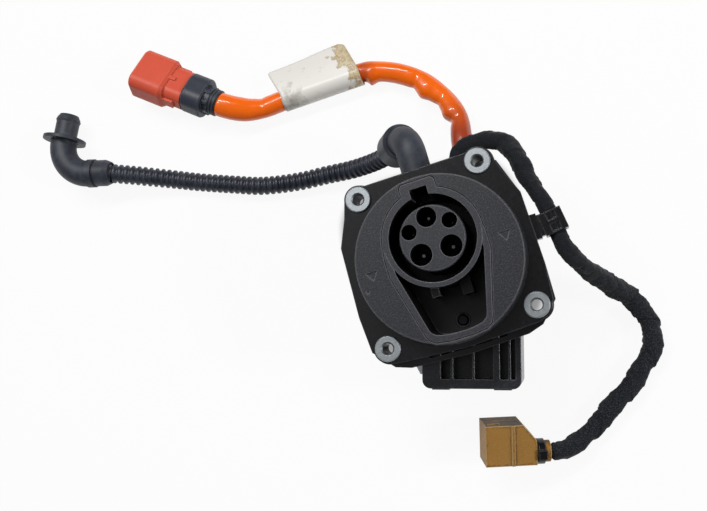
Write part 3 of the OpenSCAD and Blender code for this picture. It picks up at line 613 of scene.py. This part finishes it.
# %% Rubber and hose
def dusty(name, colour, dust, rough, dust_share):
    """A dull black with dust in patches of about 7 mm and pores of 0.5 mm."""
    material, tree, shader = fresh(name, {"IOR": 1.5, "Specular IOR Level": 0.45})
    place = add(tree, "ShaderNodeTexCoord").outputs["Object"]
    patches = add(
        tree, "ShaderNodeTexNoise", {"Scale": per_mm(7), "Detail": 7, "Roughness": 0.65},
        {"Vector": place},
    )
    pores = add(tree, "ShaderNodeTexNoise", {"Scale": per_mm(0.5), "Detail": 2}, {"Vector": place})
    share = add(
        tree, "ShaderNodeMapRange", {"From Min": 0.42, "From Max": 0.72, "To Max": dust_share},
        {"Value": patches.outputs[0]},
    )
    base = add(
        tree, "ShaderNodeMix", {"data_type": "RGBA", 6: linear(colour), 7: linear(dust)},
        {0: share.outputs[0]},
    )
    shine = add(
        tree, "ShaderNodeMapRange", {"To Min": rough - 0.08, "To Max": rough + 0.1},
        {"Value": patches.outputs[0]},
    )
    corner = add(tree, "ShaderNodeBevel", {"samples": 4, "Radius": 0.6 * mm})
    bump = add(
        tree, "ShaderNodeBump", {"Strength": 0.3, "Distance": 0.05 * mm},
        {"Height": pores.outputs[0], "Normal": corner.outputs[0]},
    )
    tree.links.new(base.outputs[2], shader.inputs["Base Color"])
    tree.links.new(shine.outputs[0], shader.inputs["Roughness"])
    tree.links.new(bump.outputs[0], shader.inputs["Normal"])
    print(name)
    return material


rubber = dusty("epdm_rubber_moulded_black", "#2B2F38", "#585D68", 0.5, 0.4)
hose_pp = dusty("polypropylene_blown_grey", "#272B36", "#5A5E69", 0.4, 0.3)

# %% [markdown]
# ## Orange sheath
# Soft PVC tube, extruded and glossy, in the orange kept for high voltage. Light goes a little way
# into it. It is darker near the inlet and beside the label, so the colour follows the wrap map along
# the lead, and the label's edge is found 111 mm along it.

# %% Orange sheath
label_edge = 1.11
orange_pvc, tree, shader = fresh(
    "pvc_extruded_orange",
    {
        "IOR": 1.45, "Specular IOR Level": 0.3, "Coat Weight": 0.6, "Coat Roughness": 0.04,
        "Subsurface Weight": 0.12, "Subsurface Scale": 1.5 * mm,
    },
)
place = add(tree, "ShaderNodeTexCoord").outputs["Object"]
wrap = add(tree, "ShaderNodeUVMap", {"uv_map": "wrap"})
along = add(tree, "ShaderNodeSeparateXYZ", {}, {0: wrap.outputs[0]})
inlet_end = add(
    tree, "ShaderNodeMapRange", {"From Min": 0.58, "From Max": 0.32, "To Max": 0.92},
    {"Value": along.outputs["Y"]},
)
past_label = add(
    tree, "ShaderNodeMath", {"operation": "SUBTRACT", 1: label_edge}, {0: along.outputs["Y"]}
)
from_label = add(tree, "ShaderNodeMath", {"operation": "ABSOLUTE"}, {0: past_label.outputs[0]})
at_label = add(
    tree, "ShaderNodeMapRange", {"From Min": 0.08, "From Max": 0.01, "To Max": 0.6},
    {"Value": from_label.outputs[0]},
)
darker_parts = add(
    tree, "ShaderNodeMath", {"operation": "MAXIMUM"},
    {0: inlet_end.outputs[0], 1: at_label.outputs[0]},
)
grime = add(
    tree, "ShaderNodeTexNoise", {"Scale": per_mm(9), "Detail": 6, "Roughness": 0.6},
    {"Vector": place},
)
dark = add(
    tree, "ShaderNodeMapRange", {"From Min": 0.55, "From Max": 0.82, "To Max": 0.22},
    {"Value": grime.outputs[0]},
)
plain_or_darker = add(
    tree, "ShaderNodeMix", {"data_type": "RGBA", 6: linear("#FF6E08"), 7: linear("#9C3B22")},
    {0: darker_parts.outputs[0]},
)
base = add(
    tree, "ShaderNodeMix", {"data_type": "RGBA", 7: linear("#A8481F")},
    {0: dark.outputs[0], 6: plain_or_darker.outputs[2]},
)
shine = add(
    tree, "ShaderNodeMapRange", {"To Min": 0.1, "To Max": 0.38}, {"Value": grime.outputs[0]}
)
ripple = add(tree, "ShaderNodeTexNoise", {"Scale": per_mm(5), "Detail": 2}, {"Vector": place})
bump = add(
    tree, "ShaderNodeBump", {"Strength": 0.5, "Distance": 0.3 * mm},
    {"Height": ripple.outputs[0]},
)
tree.links.new(base.outputs[2], shader.inputs["Base Color"])
tree.links.new(shine.outputs[0], shader.inputs["Roughness"])
tree.links.new(bump.outputs[0], shader.inputs["Normal"])
print(orange_pvc.name)

# %% [markdown]
# ## Cloth tape
# Woven polyester tape with a matt, slightly furry face. Its threads are about 0.4 mm apart; they
# are drawn 1 mm apart here, because finer ones would not show in the picture. The wrap map is
# stretched to millimetres, where a wave texture of scale 0.32 repeats every millimetre. Two sets
# of bands cross each other, soft noise gives the fluff, and small pale knots stand out of it, mostly
# on the second winding.

# %% Cloth tape
mm_round = 30
wave_scale = 0.32
cloth_tape, tree, shader = fresh(
    "polyester_cloth_tape_woven",
    {"Sheen Weight": 0.12, "Sheen Roughness": 0.5, "Specular IOR Level": 0.15, "Roughness": 0.85},
)
place = add(tree, "ShaderNodeTexCoord").outputs["Object"]
wrap = add(tree, "ShaderNodeUVMap", {"uv_map": "wrap"})
scaled = add(
    tree, "ShaderNodeMapping",
    {"Scale": (mm_round, wrap_unit / mm, 1), "Rotation": (0, 0, 0.3)},
    {"Vector": wrap.outputs[0]},
)
bands = {"Scale": wave_scale, "Distortion": 0.8, "Detail": 1}
warp, weft = [
    add(
        tree, "ShaderNodeTexWave", {"bands_direction": direction, **bands},
        {"Vector": scaled.outputs[0]},
    )
    for direction in "XY"
]
weave = add(
    tree, "ShaderNodeMath", {"operation": "MULTIPLY"}, {0: warp.outputs[1], 1: weft.outputs[1]}
)
fluff = add(
    tree, "ShaderNodeTexNoise", {"Scale": per_mm(3.5), "Detail": 6, "Roughness": 0.7},
    {"Vector": place},
)
threads = add(
    tree, "ShaderNodeMix", {"data_type": "RGBA", 6: linear("#0E0F12"), 7: linear("#282A30")},
    {0: weave.outputs[0]},
)
cloth = add(
    tree, "ShaderNodeMix", {"data_type": "RGBA", 7: linear("#1A1C20")},
    {0: fluff.outputs[0], 6: threads.outputs[2]},
)
knots = add(tree, "ShaderNodeTexNoise", {"Scale": per_mm(0.7), "Detail": 2}, {"Vector": place})
pale = add(
    tree, "ShaderNodeMapRange", {"From Min": 0.48, "From Max": 0.7, "To Max": 0.7},
    {"Value": knots.outputs[0]},
)
along = add(tree, "ShaderNodeSeparateXYZ", {}, {0: wrap.outputs[0]})
coarse = add(
    tree, "ShaderNodeMapRange", {"From Min": 1.2, "From Max": 1.6, "To Min": 0.3, "To Max": 1},
    {"Value": along.outputs["Y"]},
)
rough_cloth = add(
    tree, "ShaderNodeMath", {"operation": "MULTIPLY"}, {0: pale.outputs[0], 1: coarse.outputs[0]}
)
base = add(
    tree, "ShaderNodeMix", {"data_type": "RGBA", 7: linear("#46484F")},
    {0: rough_cloth.outputs[0], 6: cloth.outputs[2]},
)
bump = add(
    tree, "ShaderNodeBump", {"Strength": 0.6, "Distance": 0.15 * mm},
    {"Height": knots.outputs[0]},
)
tree.links.new(base.outputs[2], shader.inputs["Base Color"])
tree.links.new(bump.outputs[0], shader.inputs["Normal"])
print(cloth_tape.name)

# %% [markdown]
# ## Label film
# White polyester film with a thin clear coat, gone grey with handling. A brown stain has dried in
# at its upper right, and dirt lies at the lower left. Both follow places on the label.

# %% Label film
dirty_corner = (-66 * mm, 109 * mm, 11 * mm)
label_film, tree, shader = fresh(
    "polyester_film_coated_white", {"IOR": 1.5, "Coat Weight": 0.2, "Coat Roughness": 0.25}
)
place = add(tree, "ShaderNodeTexCoord").outputs["Object"]
blots = add(
    tree, "ShaderNodeTexNoise", {"Scale": per_mm(6), "Detail": 7, "Roughness": 0.68},
    {"Vector": place},
)
split = add(tree, "ShaderNodeSeparateXYZ", {}, {0: place})
right_end = add(
    tree, "ShaderNodeMapRange",
    {"From Min": -44 * mm, "From Max": -24 * mm, "To Min": -0.3, "To Max": 0.26},
    {"Value": split.outputs["X"]},
)
upper = add(
    tree, "ShaderNodeMapRange",
    {"From Min": 112 * mm, "From Max": 126 * mm, "To Min": -0.16, "To Max": 0.04},
    {"Value": split.outputs["Y"]},
)
at_corner = add(
    tree, "ShaderNodeMath", {"operation": "ADD"}, {0: right_end.outputs[0], 1: upper.outputs[0]}
)
stain = add(
    tree, "ShaderNodeMath", {"operation": "ADD"}, {0: at_corner.outputs[0], 1: blots.outputs[0]}
)
stained = add(tree, "ShaderNodeValToRGB", {}, {0: stain.outputs[0]})
ramp = stained.color_ramp
ramp.elements[0].position = 0.54
ramp.elements[0].color = linear("#E8E5DD")
ramp.elements[1].position = 0.9
ramp.elements[1].color = linear("#B9A27A")
for place_on_ramp, colour in ((0.62, "#AE9164"), (0.68, "#D2C3A0")):
    ramp.elements.new(place_on_ramp).color = linear(colour)
corner = add(
    tree, "ShaderNodeVectorMath", {"operation": "DISTANCE", 1: dirty_corner}, {0: place}
)
near = add(
    tree, "ShaderNodeMapRange", {"From Min": 16 * mm, "From Max": 2 * mm, "To Max": 0.32},
    {"Value": corner.outputs["Value"]},
)
dirt = add(
    tree, "ShaderNodeMath", {"operation": "ADD"}, {0: near.outputs[0], 1: blots.outputs[0]}
)
dirty = add(
    tree, "ShaderNodeMapRange", {"From Min": 0.58, "From Max": 0.9, "To Max": 0.75},
    {"Value": dirt.outputs[0]},
)
base = add(
    tree, "ShaderNodeMix", {"data_type": "RGBA", 7: linear("#6E665B")},
    {0: dirty.outputs[0], 6: stained.outputs[0]},
)
shine = add(
    tree, "ShaderNodeMapRange", {"To Min": 0.3, "To Max": 0.55}, {"Value": blots.outputs[0]}
)
creases = add(
    tree, "ShaderNodeBump", {"Strength": 0.25, "Distance": 0.2 * mm},
    {"Height": blots.outputs[0]},
)
tree.links.new(base.outputs[2], shader.inputs["Base Color"])
tree.links.new(shine.outputs[0], shader.inputs["Roughness"])
tree.links.new(creases.outputs[0], shader.inputs["Normal"])
print(label_film.name)

# %% [markdown]
# ## Metals
# The sleeves and screws are zinc plated steel, turned and then tumbled, so they are pale grey with
# faint marks. On the sleeves, upright walls, the bores among them, are painted darker as shade. The
# contacts are plated copper alloy, dulled by use, and the lock pin is ground steel with a black
# oxide finish. A metal takes its look from its colour and the width of its highlight, and the IOR
# stays as it is.

# %% Metals
def metal(name, colour, shade, rough, mark, wall_shade=None):
    """colour and shade mix in marks of so many mm; the bore colour is painted shade on upright
    walls.
    """
    material, tree, shader = fresh(name, {"Metallic": 1})
    place = add(tree, "ShaderNodeTexCoord").outputs["Object"]
    marks = add(
        tree, "ShaderNodeTexNoise", {"Scale": per_mm(mark), "Detail": 5, "Roughness": 0.7},
        {"Vector": place},
    )
    base = add(
        tree, "ShaderNodeMix", {"data_type": "RGBA", 6: linear(shade), 7: linear(colour)},
        {0: marks.outputs[0]},
    )
    # Painted shade: upright walls, the sleeves' bores among them, turn darker.
    if wall_shade:
        flat = add(tree, "ShaderNodeNewGeometry")
        up = add(tree, "ShaderNodeSeparateXYZ", {}, {0: flat.outputs["Normal"]})
        wall_shade_mask = add(
            tree, "ShaderNodeMapRange", {"From Min": 0.5, "From Max": 0.1, "To Max": 1},
            {"Value": up.outputs["Z"]},
        )
        base = add(
            tree, "ShaderNodeMix", {"data_type": "RGBA", 7: linear(wall_shade)},
            {0: wall_shade_mask.outputs[0], 6: base.outputs[2]},
        )
    shine = add(
        tree, "ShaderNodeMapRange", {"To Min": rough - 0.1, "To Max": rough + 0.12},
        {"Value": marks.outputs[0]},
    )
    corner = add(tree, "ShaderNodeBevel", {"samples": 4, "Radius": 0.3 * mm})
    bump = add(
        tree, "ShaderNodeBump", {"Strength": 0.2, "Distance": 0.05 * mm},
        {"Height": marks.outputs[0], "Normal": corner.outputs[0]},
    )
    tree.links.new(base.outputs[2], shader.inputs["Base Color"])
    tree.links.new(shine.outputs[0], shader.inputs["Roughness"])
    tree.links.new(bump.outputs[0], shader.inputs["Normal"])
    print(name)
    return material


zinc_steel = metal("steel_zinc_plated", "#D6DADC", "#A4AAAC", 0.42, 1.2)
# The sleeves' bore colour is painted shade on upright walls.
sleeve_steel = metal("steel_zinc_plated_turned", "#BCC1C3", "#90969A", 0.42, 1.2, wall_shade="#56585C")
oxide_steel = metal("steel_ground_black_oxide", "#2A2B2E", "#1E1F22", 0.46, 0.8)
silver_contact = metal("copper_alloy_silver_plated", "#8F9092", "#6E6F72", 0.45, 0.8)
brass_contact = metal("brass_drawn", "#C9A24A", "#9E7B34", 0.3, 0.8)

# %% [markdown]
# ## Finishes on the solids
# Every solid that still shows gets its finish here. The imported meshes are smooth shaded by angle
# already, so only the material slot changes.

# %% Dress the solids
finishes = [
    (plate_nylon, "mounting_flange harness_clip cable_tie"),
    (lock_nylon, "lock_actuator_housing"),
    (face_pbt, "face_disc"),
    (socket_pbt, "socket_housing socket_barrel pin_carrier"),
    (rear_nylon, "carrier_flange contact_retainer rear_housing rear_cap cable_gland"),
    (rear_nylon, "lock_actuator_cover lock_drive"),
    (rubber, "rear_seal cable_seal harness_boot lock_pin_seal drain_elbow hose_cuff"),
    (rubber, "hose_end_sleeve drain_outlet hv_strain_relief"),
    (sleeve_steel, "mounting_sleeves"),
    (zinc_steel, "collar_screws retainer_screws rear_screws cap_screws"),
    (zinc_steel, "lock_cover_screws actuator_screws actuator_bracket"),
    (oxide_steel, "lock_pin"),
    (silver_contact, "line_pins earth_pin signal_pins signal_contacts"),
    (brass_contact, "hv_contacts"),
    (red_pbt, "hv_connector_housing"),
    (collar_nylon, "hv_connector_collar"),
    (tan_pbt, "signal_connector_housing signal_connector_cover"),
]
for finish, names in finishes:
    for name in names.split():
        nodes[name].data.materials.clear()
        nodes[name].data.materials.append(finish)
for piece, finish in (
    (drain_hose, hose_pp), (power_lead, orange_pvc), (signal_harness, cloth_tape),
    (label, label_film),
):
    piece.data.materials.append(finish)
print("dressed:", sum(len(names.split()) for _, names in finishes), "solids")

# %% [markdown]
# ## Floor
# The picture is a cut-out on white. The floor shows mostly its own white to the camera and a
# little of the light that falls on it, so a soft shadow stays. Right under the plate it is a
# darker grey, so that the sleeves look down into shade: the fourth powers of the way from the
# plate's middle add up to a square with round corners.

# %% Floor
floor_half = 90
floor_drop = 0.2 * mm
plate_half = 52 * mm
plate_middle = {"X": -7.4 * mm, "Y": -3.4 * mm}
floor_white, tree, shader = fresh("floor_white", {"Roughness": 0.9})
glow = add(tree, "ShaderNodeEmission", {"Color": (1, 1, 1, 1), "Strength": 1})
path = add(tree, "ShaderNodeLightPath")
looked_at = add(
    tree, "ShaderNodeMath", {"operation": "MAXIMUM"},
    {0: path.outputs["Is Camera Ray"], 1: path.outputs["Is Glossy Ray"]},
)
seen = add(
    tree, "ShaderNodeMath", {"operation": "MAXIMUM"},
    {0: looked_at.outputs[0], 1: path.outputs["Is Transmission Ray"]},
)
place = add(tree, "ShaderNodeTexCoord").outputs["Object"]
on_floor = add(tree, "ShaderNodeSeparateXYZ", {}, {0: place})
powers = []
for axis, middle in plate_middle.items():
    offset = add(
        tree, "ShaderNodeMath", {"operation": "SUBTRACT", 1: middle}, {0: on_floor.outputs[axis]}
    )
    part = add(
        tree, "ShaderNodeMath", {"operation": "DIVIDE", 1: plate_half}, {0: offset.outputs[0]}
    )
    square = add(
        tree, "ShaderNodeMath", {"operation": "MULTIPLY"}, {0: part.outputs[0], 1: part.outputs[0]}
    )
    powers.append(
        add(tree, "ShaderNodeMath", {"operation": "POWER", 1: 2}, {0: square.outputs[0]})
    )
reach = add(
    tree, "ShaderNodeMath", {"operation": "ADD"}, {0: powers[0].outputs[0], 1: powers[1].outputs[0]}
)
outside = add(
    tree, "ShaderNodeMapRange",
    {"From Min": 0.9, "From Max": 1.42, "interpolation_type": "SMOOTHSTEP"},
    {"Value": reach.outputs[0]},
)
paint = add(
    tree, "ShaderNodeMix", {"data_type": "RGBA", 6: linear("#7A7A7A"), 7: linear("#F2F2F2")},
    {0: outside.outputs[0]},
)
tree.links.new(paint.outputs[2], shader.inputs["Base Color"])
white = add(
    tree, "ShaderNodeMapRange", {"To Min": 0.25, "To Max": 0.92}, {"Value": outside.outputs[0]}
)
part_white = add(
    tree, "ShaderNodeMath", {"operation": "MULTIPLY"}, {0: seen.outputs[0], 1: white.outputs[0]}
)
mixed = add(
    tree, "ShaderNodeMixShader", {},
    {0: part_white.outputs[0], 1: shader.outputs[0], 2: glow.outputs[0]},
)
output = [n for n in tree.nodes if n.type == "OUTPUT_MATERIAL"][0]
tree.links.new(mixed.outputs[0], output.inputs["Surface"])
mesh = bpy.data.meshes.new("floor")
turns = ((-1, -1), (1, -1), (1, 1), (-1, 1))
mesh.from_pydata([(x * floor_half, y * floor_half, 0) for x, y in turns], [], [(0, 1, 2, 3)])
mesh.materials.append(floor_white)
floor = bpy.data.objects.new("floor", mesh)
floor.location.z = -floor_drop
bpy.context.scene.collection.objects.link(floor)
print("floor:", 2 * floor_half, "m wide")

# %% [markdown]
# ## Light
# A photo studio lights a glossy black thing with large pale panels. The sky stands in for them: it
# is pale grey and brightens like a window over the drain hose, which gives the black plate its
# sheen. Two lamps add shape: a long strip behind the object, which leaves a long glint on the lead,
# and a small panel on its right. They stay at a level where a colour looks as it is written.

# %% Light
to_bright_sky = (-0.36, 0.4, 0.84)
world = bpy.data.worlds.new("studio")
bpy.context.scene.world = world
world.use_nodes = True
tree = world.node_tree
tree.nodes.clear()
way = add(tree, "ShaderNodeTexCoord")
to_window = add(
    tree, "ShaderNodeVectorMath", {"operation": "DOT_PRODUCT", 1: to_bright_sky},
    {0: way.outputs["Generated"]},
)
daylight = add(
    tree, "ShaderNodeMapRange",
    {"From Min": 0.86, "From Max": 0.98, "To Min": 0.15, "To Max": 1.1},
    {"Value": to_window.outputs["Value"]},
)
sky = add(
    tree, "ShaderNodeBackground", {"Color": linear("#F4F6F8")}, {"Strength": daylight.outputs[0]}
)
add(tree, "ShaderNodeOutputWorld", {}, {"Surface": sky.outputs[0]})


def lamp(name, place, aim, length, width, power):
    """A flat lamp at a place, turned to its aim, in metres and watts."""
    light = bpy.data.lights.new(name, "AREA")
    light.shape = "RECTANGLE"
    light.size = length
    light.size_y = width
    light.energy = power
    holder = bpy.data.objects.new(name, light)
    holder.location = place
    way = Vector(aim) - Vector(place)
    holder.rotation_euler = way.to_track_quat("-Z", "Y").to_euler()
    bpy.context.scene.collection.objects.link(holder)


lamp("key_lamp", (-0.14, 0.62, 0.94), (-0.05, 0.03, 0.05), 0.8, 0.05, 7.2)
lamp("side_lamp", (0.85, -0.3, 0.7), (0, 0, 0.05), 0.16, 0.16, 4.2)
bpy.context.scene.view_settings.view_transform = "Standard"
print("lamps:", len(bpy.data.lights))
